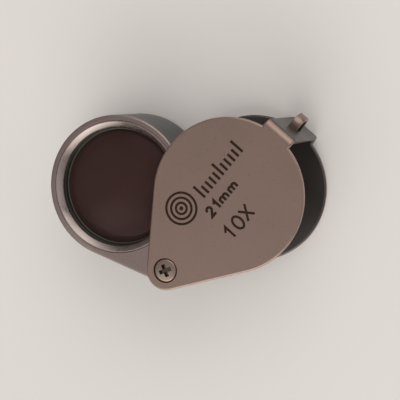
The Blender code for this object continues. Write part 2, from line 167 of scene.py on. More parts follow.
# Cover: one stamped blank of stainless sheet, two teardrops joined by a strap, bent into a U and
# tumbled so that every edge is soft.  Satin finish, with the warm cast of handled steel.
cover_low, cover_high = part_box("cover")
pivot_x, pivot_y = frame["joints"][0]["pos_m"][:2]
SHEET = 1.0 * MM
ROUND_R = cover_high.y
TAIL_R = pivot_x - cover_low.x
STRAP_W = 5.7 * MM
SOFT_EDGE = 0.34 * MM
FRONT_Z = cover_high.z
INNER_FRONT_Z = FRONT_Z - SHEET
MID_Z = FRONT_Z / 2
BEND_R = 0.4 * MM
screw_low, screw_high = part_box("pivot_screw")
HEAD_R = (screw_high.x - screw_low.x) / 2 + 0.12 * MM
GROOVE = 0.15 * MM


def arc(cx, cy, radius, start, end, count):
    angles = [start + (end - start) * i / count for i in range(count + 1)]
    return [(cx + radius * math.cos(a), cy + radius * math.sin(a)) for a in angles]


def teardrop(round_x, round_r, tail_x, tail_r, count):
    """Outline of a big disc and a small one joined by their outer tangents."""
    lean = math.acos((tail_r - round_r) / (round_x - tail_x))
    big = arc(round_x, 0.0, round_r, -lean, lean, count)
    return big + arc(tail_x, 0.0, tail_r, lean, 2 * math.pi - lean, count // 3)


def strip(path, thickness):
    """Closed outline of a strip of even thickness along an open path."""
    left, right = [], []
    last = len(path) - 1
    for i, (x, y) in enumerate(path):
        here = Vector((x, y))
        before = here - Vector(path[i - 1]) if i > 0 else Vector(path[1]) - here
        after = Vector(path[i + 1]) - here if i < last else before
        across = before.normalized() + after.normalized()
        across = Vector((-across.y, across.x))
        across = across * (thickness / across.length_squared)
        left.append(tuple(here + across))
        right.append(tuple(here - across))
    return left + right[::-1]


def slab(name, outline, thickness, turn):
    """Flat outline thickened evenly about its plane, then turned into place."""
    curve = bpy.data.curves.new(name, "CURVE")
    curve.dimensions = "2D"
    curve.fill_mode = "BOTH"
    curve.extrude = thickness / 2
    spline = curve.splines.new("POLY")
    spline.points.add(len(outline) - 1)
    for point, (x, y) in zip(spline.points, outline):
        point.co = (x, y, 0.0, 1.0)
    spline.use_cyclic_u = True
    blank = bpy.data.objects.new(name, curve)
    bpy.context.scene.collection.objects.link(blank)
    graph = bpy.context.evaluated_depsgraph_get()
    mesh = bpy.data.meshes.new_from_object(blank.evaluated_get(graph))
    bpy.data.objects.remove(blank)
    shape = bmesh.new()
    shape.from_mesh(mesh)
    bmesh.ops.remove_doubles(shape, verts=shape.verts, dist=0.001 * MM)
    bmesh.ops.transform(shape, matrix=turn, verts=shape.verts)
    bmesh.ops.recalc_face_normals(shape, faces=shape.faces)
    shape.to_mesh(mesh)
    shape.free()
    piece = bpy.data.objects.new(name, mesh)
    bpy.context.scene.collection.objects.link(piece)
    return piece


def turned(name, profile, closed, steps, axis_x, axis_y):
    """Profile of (radius, height) pairs, outer side running down, turned about an upright axis."""
    mesh = bpy.data.meshes.new(name)
    edges = [(i, i + 1) for i in range(len(profile) - 1)]
    if closed:
        edges.append((len(profile) - 1, 0))
    mesh.from_pydata([(r, 0.0, z) for r, z in profile], edges, [])
    piece = bpy.data.objects.new(name, mesh)
    bpy.context.scene.collection.objects.link(piece)
    lathe = piece.modifiers.new("lathe", "SCREW")
    lathe.axis = "Z"
    lathe.angle = 2 * math.pi
    lathe.steps = steps
    lathe.render_steps = steps
    lathe.use_merge_vertices = True
    lathe.merge_threshold = 0.0001 * MM
    piece.location = (axis_x, axis_y, 0.0)
    return piece


def rounded(corners, radius, count=3):
    """Closed profile with each corner replaced by a small arc."""
    out = []
    total = len(corners)
    for i in range(total):
        here = Vector(corners[i])
        back = Vector(corners[i - 1]) - here
        ahead = Vector(corners[(i + 1) % total]) - here
        reach = min(radius, 0.4 * back.length, 0.4 * ahead.length)
        start = here + back.normalized() * reach
        end = here + ahead.normalized() * reach
        for k in range(count + 1):
            t = k / count
            spot = start * (1 - t) ** 2 + here * (2 * t * (1 - t)) + end * t * t
            out.append(tuple(spot))
    return out


def cut(piece, tool, operation="DIFFERENCE"):
    """Cuts or joins with a tool, settles the result in the piece's mesh and drops the tool."""
    step = piece.modifiers.new("cut", "BOOLEAN")
    step.operation = operation
    step.solver = "EXACT"
    step.object = tool
    settle(piece)
    bpy.data.objects.remove(tool)


def settle(piece):
    """Makes what the modifiers show the piece's own mesh."""
    bpy.context.view_layer.update()
    graph = bpy.context.evaluated_depsgraph_get()
    mesh = bpy.data.meshes.new_from_object(piece.evaluated_get(graph))
    piece.modifiers.clear()
    piece.data = mesh


def soften(piece, wanted, width, segments):
    """Rounds the sharp edges that wanted accepts."""
    shape = bmesh.new()
    shape.from_mesh(piece.data)
    sharp = [
        e
        for e in shape.edges
        if len(e.link_faces) == 2 and e.calc_face_angle() > math.radians(40) and wanted(e)
    ]
    bmesh.ops.bevel(
        shape,
        geom=sharp,
        offset=width,
        segments=segments,
        profile=0.5,
        affect="EDGES",
        clamp_overlap=False,
    )
    shape.to_mesh(piece.data)
    shape.free()


def polish(piece, angle=32):
    """Smooth shading that stays crisp at real corners, with flats kept flat."""
    piece.data.shade_smooth()
    piece.data.set_sharp_from_angle(angle=math.radians(angle))
    weigh = piece.modifiers.new("flats", "WEIGHTED_NORMAL")
    weigh.keep_sharp = True


def fit_out(piece, finish, body, slot_name, *nodes):
    """Gives the piece its finish and lets it stand for its CAD nodes."""
    piece.data.materials.clear()
    piece.data.materials.append(finish)
    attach(piece, body)
    if nodes:
        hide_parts(*nodes)


GRAIN_SHARE = 0.35
BLOTCH_SCALE = 140.0
PIT_SCALE = 620.0
PIT_INNER, PIT_OUTER = 0.05, 0.11
PIT_TONE = 0.80
SHADE_BLEND = 0.12 * MM


def metal(name, tint, dull, grain, stretch, bump, smudge=0.12, painted_shade=None):
    """A metal: fine grain drawn out along one way, with faint handling marks in its gloss.

    The last argument paints shade: (mean height, half height of the shaded band, tone of the
    shade).
    """
    finish = bpy.data.materials.new(name)
    finish.use_nodes = True
    tree = finish.node_tree
    shader = tree.nodes["Principled BSDF"]
    shader.inputs["Metallic"].default_value = 1.0
    place = tree.nodes.new("ShaderNodeTexCoord")
    lay = tree.nodes.new("ShaderNodeMapping")
    lay.inputs["Scale"].default_value = stretch
    fine = tree.nodes.new("ShaderNodeTexNoise")
    fine.inputs["Scale"].default_value = grain
    fine.inputs["Detail"].default_value = 5.0
    fine.inputs["Roughness"].default_value = 0.65
    blotch = tree.nodes.new("ShaderNodeTexNoise")
    blotch.inputs["Scale"].default_value = BLOTCH_SCALE
    blotch.inputs["Detail"].default_value = 4.0
    tree.links.new(place.outputs["Object"], lay.inputs["Vector"])
    tree.links.new(lay.outputs["Vector"], fine.inputs["Vector"])
    tree.links.new(place.outputs["Object"], blotch.inputs["Vector"])
    both = tree.nodes.new("ShaderNodeMath")
    both.operation = "MULTIPLY_ADD"
    both.inputs[1].default_value = GRAIN_SHARE
    tree.links.new(fine.outputs["Fac"], both.inputs[0])
    tree.links.new(blotch.outputs["Fac"], both.inputs[2])
    gloss = tree.nodes.new("ShaderNodeMapRange")
    gloss.inputs["From Min"].default_value = 0.45
    gloss.inputs["From Max"].default_value = 0.95
    gloss.inputs["To Min"].default_value = dull * (1 - smudge)
    gloss.inputs["To Max"].default_value = dull * (1 + smudge)
    tree.links.new(both.outputs["Value"], gloss.inputs["Value"])
    tree.links.new(gloss.outputs["Result"], shader.inputs["Roughness"])
    shade = tree.nodes.new("ShaderNodeValToRGB")
    shade.color_ramp.elements[0].position = 0.35
    shade.color_ramp.elements[0].color = (*[c * 0.93 for c in tint], 1.0)
    shade.color_ramp.elements[1].position = 0.70
    shade.color_ramp.elements[1].color = (*[min(c * 1.05, 1.0) for c in tint], 1.0)
    tree.links.new(fine.outputs["Fac"], shade.inputs["Fac"])
    pits = tree.nodes.new("ShaderNodeTexVoronoi")
    pits.inputs["Scale"].default_value = PIT_SCALE
    pits.inputs["Randomness"].default_value = 1.0
    pit_edge = tree.nodes.new("ShaderNodeMapRange")
    pit_edge.inputs["From Min"].default_value = PIT_INNER
    pit_edge.inputs["From Max"].default_value = PIT_OUTER
    pit_edge.inputs["To Min"].default_value = PIT_TONE
    pit_edge.inputs["To Max"].default_value = 1.0
    tree.links.new(place.outputs["Object"], pits.inputs["Vector"])
    tree.links.new(pits.outputs["Distance"], pit_edge.inputs["Value"])
    pitted = tree.nodes.new("ShaderNodeVectorMath")
    pitted.operation = "SCALE"
    tree.links.new(shade.outputs["Color"], pitted.inputs[0])
    tree.links.new(pit_edge.outputs["Result"], pitted.inputs["Scale"])
    color_source = pitted.outputs["Vector"]
    if painted_shade:
        # Painted shade: faces nearer the mean height than the given half height are darkened by the
        # given tone, with a short blend at the edge of the band.
        middle, shade_reach, shade_tone = painted_shade
        split = tree.nodes.new("ShaderNodeSeparateXYZ")
        tree.links.new(place.outputs["Object"], split.inputs["Vector"])
        off = tree.nodes.new("ShaderNodeMath")
        off.operation = "SUBTRACT"
        off.inputs[1].default_value = middle
        tree.links.new(split.outputs["Z"], off.inputs[0])
        above = tree.nodes.new("ShaderNodeMath")
        above.operation = "ABSOLUTE"
        tree.links.new(off.outputs["Value"], above.inputs[0])
        # With vectors this node's sockets go by number: 6 the vector, 7 and 8 the range it comes
        # in, 9 and 10 the range it goes out in.
        shade_ramp = tree.nodes.new("ShaderNodeMapRange")
        shade_ramp.data_type = "FLOAT_VECTOR"
        shade_ramp.inputs[7].default_value = (shade_reach - SHADE_BLEND,) * 3
        shade_ramp.inputs[8].default_value = (shade_reach + SHADE_BLEND,) * 3
        shade_ramp.inputs[9].default_value = shade_tone
        shade_ramp.inputs[10].default_value = (1.0, 1.0, 1.0)
        tree.links.new(above.outputs["Value"], shade_ramp.inputs[6])
        shaded = tree.nodes.new("ShaderNodeVectorMath")
        shaded.operation = "MULTIPLY"
        tree.links.new(color_source, shaded.inputs[0])
        tree.links.new(shade_ramp.outputs[1], shaded.inputs[1])
        color_source = shaded.outputs["Vector"]
    tree.links.new(color_source, shader.inputs["Base Color"])
    relief = tree.nodes.new("ShaderNodeBump")
    relief.inputs["Strength"].default_value = bump
    relief.inputs["Distance"].default_value = 0.004 * MM
    tree.links.new(fine.outputs["Fac"], relief.inputs["Height"])
    tree.links.new(relief.outputs["Normal"], shader.inputs["Normal"])
    return finish


# Painted shade: the cover's inner faces, its strap and most of its plate edges, all within 8.36 mm
# of the middle height, are darkened by this tone. The outer faces of the two plates keep the plain
# satin tone.
INNER_SHADE_TONE = (0.34, 0.42, 0.47)
satin_steel = metal(
    "satin_steel",
    (0.405, 0.293, 0.250),
    0.40,
    4200.0,
    (1.0, 1.6, 1.0),
    0.5,
    painted_shade=(MID_Z, 8.36 * MM, INNER_SHADE_TONE),
)

on_side = Matrix.Rotation(math.pi / 2, 4, "X")
centre_r = BEND_R + SHEET / 2
strap_mid_x = cover_high.x - SHEET / 2
bend_x = strap_mid_x - centre_r
upper_bend = arc(bend_x, FRONT_Z - SHEET / 2 - centre_r, centre_r, math.pi / 2, 0.0, 16)
lower_bend = arc(bend_x, SHEET / 2 + centre_r, centre_r, 0.0, -math.pi / 2, 16)
past_tail = cover_low.x - 2 * SHEET
u_path = [(past_tail, FRONT_Z - SHEET / 2)] + upper_bend + lower_bend + [(past_tail, SHEET / 2)]
cover = slab("cover_sheet", strip(u_path, SHEET), 3 * ROUND_R, on_side)

plate = teardrop(0.0, ROUND_R, pivot_x, TAIL_R, 150)
corner_x = math.sqrt(ROUND_R**2 - STRAP_W**2 / 4)
past_bridge = cover_high.x + SHEET
neck_half = STRAP_W / 2 + 0.05 * MM
lower_half = [p for p in plate if p[1] < 0 and not (p[0] > 0 and p[1] > -neck_half)]
upper_half = [p for p in plate if p[1] >= 0 and not (p[0] > 0 and p[1] < neck_half)]
lower_half.sort(key=lambda p: math.atan2(p[1], p[0]))
upper_half.sort(key=lambda p: math.atan2(p[1], p[0]))
strap_edge = [(corner_x, -STRAP_W / 2), (past_bridge, -STRAP_W / 2)]
blank_outline = lower_half + strap_edge + [(x, -y) for x, y in strap_edge[::-1]] + upper_half
blank = slab("blank", blank_outline, 2 * FRONT_Z, Matrix.Translation((0, 0, MID_Z)))
cut(cover, blank, "INTERSECT")


def not_in_corner(edge):
    a, b = (v.co for v in edge.verts)
    upright = abs(a.x - b.x) + abs(a.y - b.y) < 0.001 * MM
    return not (upright and a.x < corner_x + 0.3 * MM)


soften(cover, not_in_corner, SOFT_EDGE, 4)

sink_r = HEAD_R + GROOVE
hole_r = 1.05 * MM
sink = [
    (0.0, FRONT_Z + SHEET),
    (sink_r + SHEET, FRONT_Z + SHEET),
    (sink_r + 0.02 * MM, FRONT_Z + 0.02 * MM),
    (sink_r, FRONT_Z - 0.03 * MM),
    (sink_r - 0.02 * MM, FRONT_Z - 0.36 * MM),
    (hole_r, FRONT_Z - (sink_r - hole_r)),
    (hole_r, INNER_FRONT_Z - SHEET),
    (0.0, INNER_FRONT_Z - SHEET),
]
cut(cover, turned("sink", sink, False, 96, pivot_x, pivot_y))

FIT = 0.05 * MM
post_low, post_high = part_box("pivot_post")
post_head_r = (post_high.x - post_low.x) / 2
post_r = 1.6 * MM
POST_HEAD_H = 0.48 * MM
back_sink = [
    (0.0, 2 * SHEET),
    (post_r + FIT, 2 * SHEET),
    (post_r + FIT, POST_HEAD_H),
    (post_r + POST_HEAD_H + FIT + SHEET, -SHEET),
    (0.0, -SHEET),
]
cut(cover, turned("back_sink", back_sink, False, 96, pivot_x, pivot_y))

loop_low, loop_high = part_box("lanyard_loop")
LOOP_W = loop_high.y - loop_low.y
LOOP_T = 0.6 * MM
LOOP_R = 1.7 * MM


def brick(name, size, place, spin=0.0):
    """A square-cornered cutting tool, turned about the upright and moved into place."""
    shape = bmesh.new()
    bmesh.ops.create_cube(shape, size=1.0)
    bmesh.ops.scale(shape, vec=size, verts=shape.verts)
    around = Matrix.Rotation(spin, 3, "Z")
    bmesh.ops.rotate(shape, cent=(0, 0, 0), matrix=around, verts=shape.verts)
    bmesh.ops.translate(shape, vec=place, verts=shape.verts)
    tool = bpy.data.objects.new(name, bpy.data.meshes.new(name))
    shape.to_mesh(tool.data)
    shape.free()
    bpy.context.scene.collection.objects.link(tool)
    return tool


slot_size = (4 * SHEET, LOOP_W + 2 * FIT, LOOP_T + 2 * FIT)
for sign in (1, -1):
    cut(cover, brick("slot_tool", slot_size, (strap_mid_x, 0.0, MID_Z + sign * LOOP_R)))
polish(cover)
fit_out(cover, satin_steel, "cover_body", "satin_steel", "cover")


# Marks on the front plate, printed in brown-black enamel: a magnification figure, the size of the
# glass, a row of ticks a millimetre apart and a plain ringed target.
PRINT_T = 0.012 * MM
PRINT_SINK = 0.004 * MM
STROKE = 0.41 * MM
BOLD_STROKE = 0.46 * MM


def grained(name, scale, dark, light, dull=None):
    """A material whose tone follows a fine noise, and its gloss too when dull is a pair of limits.

    It comes with its shader, its coordinates, its noise and its tone ramp, for more work on them.
    """
    finish = bpy.data.materials.new(name)
    finish.use_nodes = True
    tree = finish.node_tree
    shader = tree.nodes["Principled BSDF"]
    place = tree.nodes.new("ShaderNodeTexCoord")
    noise = tree.nodes.new("ShaderNodeTexNoise")
    noise.inputs["Scale"].default_value = scale
    tone = tree.nodes.new("ShaderNodeValToRGB")
    tone.color_ramp.elements[0].color = (*dark, 1.0)
    tone.color_ramp.elements[1].color = (*light, 1.0)
    tree.links.new(place.outputs["Object"], noise.inputs["Vector"])
    tree.links.new(noise.outputs["Fac"], tone.inputs["Fac"])
    tree.links.new(tone.outputs["Color"], shader.inputs["Base Color"])
    if dull:
        gloss = tree.nodes.new("ShaderNodeMapRange")
        gloss.inputs["To Min"].default_value = dull[0]
        gloss.inputs["To Max"].default_value = dull[1]
        tree.links.new(noise.outputs["Fac"], gloss.inputs["Value"])
        tree.links.new(gloss.outputs["Result"], shader.inputs["Roughness"])
    return finish, shader, place, noise, tone


black_enamel, enamel_shader, *_ = grained(
    "black_enamel", 5200.0, (0.018, 0.009, 0.006), (0.046, 0.026, 0.018), (0.50, 0.75)
)
enamel_shader.inputs["Specular IOR Level"].default_value = 0.10
PRINT_PLACE = Matrix.Translation((0.0, 0.0, FRONT_Z + PRINT_T / 2 - PRINT_SINK))


def bow(mid_u, mid_v, wide, tall, start, step, count):
    """Points along an oval, from start, each step of it further."""
    turns = [start + step * i for i in range(count)]
    return [(mid_u + wide * math.cos(a), mid_v + tall * math.sin(a)) for a in turns]


# The strokes of each figure, in a box one high.
EIGHTH, TENTH, SIXTEENTH = math.pi / 8, math.pi / 10, math.pi / 16
FIGURES = {
    "0": [bow(0.33, 0.5, 0.33, 0.5, -math.pi / 2, SIXTEENTH, 33)],
    "1": [[(0.0, 0.70), (0.30, 1.0), (0.30, 0.0)]],
    "2": [bow(0.31, 0.70, 0.29, 0.30, math.pi, -TENTH, 12) + [(0.02, 0.0), (0.64, 0.0)]],
    "m": [
        [(0.0, 0.0), (0.0, 0.62)],
        bow(0.24, 0.40, 0.24, 0.20, math.pi, -EIGHTH, 9) + [(0.48, 0.0)],
        bow(0.72, 0.40, 0.24, 0.20, math.pi, -EIGHTH, 9) + [(0.96, 0.0)],
    ],
    "X": [[(0.0, 1.0), (0.72, 0.0)], [(0.0, 0.0), (0.72, 1.0)]],
}
STROKE_STEP = 0.0006 * MM


def print_figure(name, sign, x, y, height, stroke_w):
    """Prints one figure with its lower left corner at x, y."""
    inset = stroke_w / 2
    tall = height - stroke_w
    for i, stroke in enumerate(FIGURES[sign]):
        path = [(x + inset + u * tall, y + inset + v * tall) for u, v in stroke]
        lift = Matrix.Translation((0.0, 0.0, STROKE_STEP * i))
        piece = slab(f"{name}_{i}", strip(path, stroke_w), PRINT_T, lift @ PRINT_PLACE)
        fit_out(piece, black_enamel, "cover_body", "satin_steel")


for i, (sign, x) in enumerate((("1", -5.10), ("0", -3.10), ("X", -0.98))):
    print_figure(f"magnification_{i}", sign, x * MM, -5.65 * MM, 2.75 * MM, STROKE)
for i, (sign, x) in enumerate((("2", -4.60), ("1", -2.85), ("m", -1.60), ("m", 0.68))):
    print_figure(f"glass_size_{i}", sign, x * MM, -0.60 * MM, 2.05 * MM, BOLD_STROKE)

TICKS = 11
TICK_FOOT = 2.65 * MM
for i in range(TICKS):
    tall = (2.7 if i % 5 == 0 else 1.7) * MM
    tick_x = (-2.7 + i) * MM
    tick_path = [(tick_x, TICK_FOOT), (tick_x, TICK_FOOT + tall)]
    tick = slab(f"tick_{i}", strip(tick_path, BOLD_STROKE), PRINT_T, PRINT_PLACE)
    fit_out(tick, black_enamel, "cover_body", "satin_steel")

TARGET_X = -6.9 * MM
TARGET_Y = 4.6 * MM
TARGET_RINGS = (("target_ring", 2.85), ("target_middle_ring", 2.0), ("target_inner_ring", 1.15))
top = FRONT_Z + PRINT_T - PRINT_SINK
low = FRONT_Z - PRINT_SINK
for name, outer in TARGET_RINGS:
    inner = outer * MM - STROKE
    band = [(inner, top), (outer * MM, top), (outer * MM, low), (inner, low)]
    band_piece = turned(name, band, True, 96, TARGET_X, TARGET_Y)
    settle(band_piece)
    fit_out(band_piece, black_enamel, "cover_body", "satin_steel")
dot = [(0.0, top), (0.36 * MM, top), (0.36 * MM, low), (0.0, low)]
dot_piece = turned("target_dot", dot, False, 48, TARGET_X, TARGET_Y)
settle(dot_piece)
fit_out(dot_piece, black_enamel, "cover_body", "satin_steel")


# Lanyard loop: a bright steel strip bent to a D.  Its feet pass through two slots in the bridge and
# are turned over inside.
bright_strip = metal("bright_strip", (0.29, 0.225, 0.19), 0.28, 3000.0, (1.0, 1.0, 1.0), 0.2)
FOOT_BEND = 0.36 * MM
foot_x = loop_low.x + LOOP_T / 2
bow_x = loop_high.x - LOOP_R - LOOP_T / 2
half_bow = arc(bow_x, MID_Z, LOOP_R, math.pi / 2, -math.pi / 2, 32)
bend_z = MID_Z + LOOP_R + FOOT_BEND
foot_bend = arc(foot_x + FOOT_BEND, bend_z, FOOT_BEND, math.pi, 1.5 * math.pi, 6)
upper_foot = [(foot_x, loop_high.z)] + foot_bend


def mirrored(profile):
    """The same points seen from the other face, in the opposite order."""
    return [(across, 2 * MID_Z - z) for across, z in profile[::-1]]


def along_strip(edge):
    return abs(edge.verts[0].co.y - edge.verts[1].co.y) < 0.01 * MM


loop_path = upper_foot + half_bow + mirrored(upper_foot)
loop = slab("lanyard_strip", strip(loop_path, LOOP_T), LOOP_W, on_side)
soften(loop, along_strip, 0.09 * MM, 2)
polish(loop)
fit_out(loop, bright_strip, "cover_body", "loop_steel", "lanyard_loop")


# Pivot screw: turned steel with a raised countersunk head and a cross recess.  It is screwed into
# the post from the front and closes the pivot.
# Painted shade: everything of the screw and post more than 0.14 mm inside the front and back faces
# is darkened by this tone, so the cross recess, the sides of the head and the shanks.
RECESS_SHADE_TONE = (0.34, 0.36, 0.38)
turned_steel = metal(
    "turned_steel",
    (0.42, 0.32, 0.27),
    0.32,
    3200.0,
    (1.0, 1.0, 1.0),
    0.3,
    painted_shade=(MID_Z, FRONT_Z - MID_Z - 0.14 * MM, RECESS_SHADE_TONE),
)
dome = 0.17 * MM
THREAD_TOP_R = 1.0 * MM
CROSS_TURN = math.radians(62)
edge_z = FRONT_Z - 0.05 * MM
ball_r = (HEAD_R**2 + dome**2) / (2 * dome)
screw_profile = []
for i in range(13):
    r = (HEAD_R - 0.16 * MM) * i / 12
    screw_profile.append((r, edge_z + dome - (ball_r - math.sqrt(ball_r**2 - r * r))))
screw_profile += [
    (HEAD_R - 0.09 * MM, edge_z - 0.02 * MM),
    (HEAD_R - 0.03 * MM, edge_z - 0.08 * MM),
    (HEAD_R, edge_z - 0.16 * MM),
    (HEAD_R, FRONT_Z - 0.26 * MM),
    (THREAD_TOP_R, FRONT_Z - 0.28 * MM - (HEAD_R - THREAD_TOP_R)),
    (THREAD_TOP_R, screw_low.z + 0.3 * MM),
    (0.7 * MM, screw_low.z),
    (0.0, screw_low.z),
]
screw = turned("screw_body", screw_profile, False, 96, pivot_x, pivot_y)
settle(screw)
# Height, reach and half width of the cross at its foot and above the head.
CROSS_FOOT = (edge_z - 0.50 * MM, 0.86 * MM, 0.27 * MM)
CROSS_TOP = (edge_z + dome + 0.3 * MM, 1.24 * MM, 0.38 * MM)
cross_shape = bmesh.new()
tiers = []
for height, arm, half_w in (CROSS_FOOT, CROSS_TOP):
    corners = []
    for quarter in range(4):
        spin = Matrix.Rotation(quarter * math.pi / 2 + CROSS_TURN, 2)
        for u, v in ((half_w, -half_w), (arm, -half_w), (arm, half_w)):
            spot = spin @ Vector((u, v))
            corners.append(cross_shape.verts.new((pivot_x + spot.x, pivot_y + spot.y, height)))
    tiers.append(corners)
for i in range(12):
    j = (i + 1) % 12
    cross_shape.faces.new((tiers[0][i], tiers[0][j], tiers[1][j], tiers[1][i]))
cross_shape.faces.new(tiers[0][::-1])
cross_shape.faces.new(tiers[1])
cross_tool = bpy.data.objects.new("cross_tool", bpy.data.meshes.new("cross_tool"))
cross_shape.to_mesh(cross_tool.data)
cross_shape.free()
bpy.context.scene.collection.objects.link(cross_tool)
cut(screw, cross_tool)
polish(screw)
fit_out(screw, turned_steel, "cover_body", "screw_steel", "pivot_screw")


# Pivot post: the threaded half of the pivot, put in from the back.  Its slotted head lies in a
# countersink in the back plate.
POST_BORE_R = THREAD_TOP_R + FIT
post_profile = [
    (0.0, screw_low.z - 0.5 * MM),
    (POST_BORE_R, screw_low.z - 0.5 * MM),
    (POST_BORE_R, post_high.z),
    (post_r - 0.05 * MM, post_high.z),
    (post_r, post_high.z - 0.05 * MM),
    (post_r, POST_HEAD_H),
    (post_head_r, post_low.z + 0.03 * MM),
    (post_head_r - 0.05 * MM, post_low.z),
    (0.0, post_low.z),
]
post = turned("post_body", post_profile, False, 96, pivot_x, pivot_y)
settle(post)
SLIT = (6 * MM, 0.5 * MM, 0.7 * MM)
cut(post, brick("slit", SLIT, (pivot_x, pivot_y, post_low.z), math.radians(35)))
polish(post)
fit_out(post, turned_steel, "cover_body", "post_steel", "pivot_post")


# Washers and bushing: a stamped brass washer and a three-crested spring washer press the arm on a
# nylon washer, and the arm turns on a bronze bushing.
washer_brass = metal("washer_brass", (0.62, 0.46, 0.22), 0.32, 3000.0, (1.0, 1.0, 1.0), 0.3)
spring_steel = metal("spring_steel", (0.42, 0.42, 0.44), 0.28, 3000.0, (1.0, 1.0, 1.0), 0.3)
bushing_bronze = metal("bushing_bronze", (0.52, 0.33, 0.16), 0.34, 3000.0, (1.0, 1.0, 4.0), 0.3)
nylon, nylon_shader, *_ = grained("nylon", 900.0, (0.66, 0.63, 0.56), (0.78, 0.76, 0.70))
nylon_shader.inputs["Roughness"].default_value = 0.5
nylon_shader.inputs["Subsurface Weight"].default_value = 0.15
nylon_shader.inputs["Subsurface Radius"].default_value = (0.001, 0.0008, 0.0006)
WASHER_HOLE_R = 1.65 * MM


def ring_profile(node, inner_r, edge):
    low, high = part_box(node)
    outer_r = (high.y - low.y) / 2
    corners = [(inner_r, high.z), (outer_r, high.z), (outer_r, low.z), (inner_r, low.z)]
    return rounded(corners, edge)


for node, finish, body, slot_name in (
    ("front_washer", washer_brass, "cover_body", "washer_brass"),
    ("back_washer", nylon, "cover_body", "nylon"),
    ("pivot_bushing", bushing_bronze, "lens_body", "bushing_bronze"),
):
    profile = ring_profile(node, WASHER_HOLE_R, 0.05 * MM)
    ring = turned(node + "_body", profile, True, 96, pivot_x, pivot_y)
    settle(ring)
    polish(ring)
    fit_out(ring, finish, body, slot_name, node)

spring_low, spring_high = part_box("spring_washer")
SPRING_T = 0.16 * MM
spring_r = (spring_high.y - spring_low.y) / 2
spring_mid = (spring_low.z + spring_high.z) / 2
SPRING_HOLE_R = 1.7 * MM
SPRING_CRESTS = 3
half_t = SPRING_T / 2
spring_corners = [(SPRING_HOLE_R, half_t), (spring_r, half_t)]
spring_corners += [(spring_r, -half_t), (SPRING_HOLE_R, -half_t)]
spring = turned("spring_body", rounded(spring_corners, 0.04 * MM), True, 96, 0.0, 0.0)
settle(spring)
wave = (spring_high.z - spring_low.z - SPRING_T) / 2
for v in spring.data.vertices:
    v.co.z += wave * math.cos(SPRING_CRESTS * math.atan2(v.co.y, v.co.x)) + spring_mid
    v.co.x += pivot_x
    v.co.y += pivot_y
polish(spring)
fit_out(spring, spring_steel, "cover_body", "spring_steel", "spring_washer")


# Lens holder: a solid teardrop of plated metal with a boss each side of its arm.  Its faces are
# satin, its rim is broken by a bright chamfer, and one stepped bore takes the glass and the rings.
bezel_low, bezel_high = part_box("front_bezel_ring")
rear_low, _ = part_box("rear_bezel_ring")
_, holder_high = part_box("lens_holder")
_, bushing_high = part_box("pivot_bushing")
lens_x = (bezel_low.x + bezel_high.x) / 2
lens_y = (bezel_low.y + bezel_high.y) / 2
swing = math.atan2(lens_y - pivot_y, lens_x - pivot_x)
reach = math.hypot(lens_x - pivot_x, lens_y - pivot_y)
HOLDER_TOP = bezel_high.z
HOLDER_LOW = rear_low.z
HOLDER_R = holder_high.y - lens_y
ARM_END_R = 3.05 * MM
BOSS_R = 2.7 * MM
RING_R = (bezel_high.x - bezel_low.x) / 2
# Painted shade: the holder's sides, the sides of the boss and the bore walls, within 6.05 mm of the
# middle height, are darkened by this tone. Only its two faces keep the plain satin tone.
SIDE_SHADE_TONE = (0.20, 0.24, 0.245)
satin_plate = metal(
    "satin_plate",
    (0.38, 0.30, 0.285),
    0.36,
    3600.0,
    (1.0, 1.0, 1.0),
    0.4,
    painted_shade=(MID_Z, 6.05 * MM, SIDE_SHADE_TONE),
)


def along_face(edge):
    return abs(edge.verts[0].co.z - edge.verts[1].co.z) < 0.01 * MM


holder_outline = teardrop(reach, HOLDER_R, 0.0, ARM_END_R, 150)
into_place = Matrix.Translation((pivot_x, pivot_y, MID_Z)) @ Matrix.Rotation(swing, 4, "Z")
holder = slab("holder_body", holder_outline, HOLDER_TOP - HOLDER_LOW, into_place)
soften(holder, along_face, 0.3 * MM, 3)
BOSS_EDGE = 0.1 * MM
boss_top = bushing_high.z
boss_corners = [(0.0, boss_top), (BOSS_R - BOSS_EDGE, boss_top), (BOSS_R, boss_top - BOSS_EDGE)]
boss_corners += mirrored(boss_corners)
cut(holder, turned("boss", boss_corners, False, 96, pivot_x, pivot_y), "UNION")
ARM_BORE_R = 2.13 * MM
arm_bore = [(0.0, 2 * FRONT_Z), (ARM_BORE_R, 2 * FRONT_Z), (ARM_BORE_R, -FRONT_Z), (0.0, -FRONT_Z)]
cut(holder, turned("arm_bore", arm_bore, False, 96, pivot_x, pivot_y))
stop_low, stop_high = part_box("front_stop_ring")
seat_z = stop_low.z - 0.03 * MM
THREAD_R = RING_R + FIT
BORE_R = 10.55 * MM
bore = [
    (0.0, HOLDER_TOP + SHEET),
    (THREAD_R + SHEET, HOLDER_TOP + SHEET),
    (THREAD_R, HOLDER_TOP - 0.06 * MM),
    (THREAD_R, seat_z),
    (BORE_R, seat_z),
]
bore += mirrored(bore)
cut(holder, turned("bore", bore, False, 192, lens_x, lens_y))
polish(holder)
fit_out(holder, satin_plate, "lens_body", "holder_metal", "lens_holder")


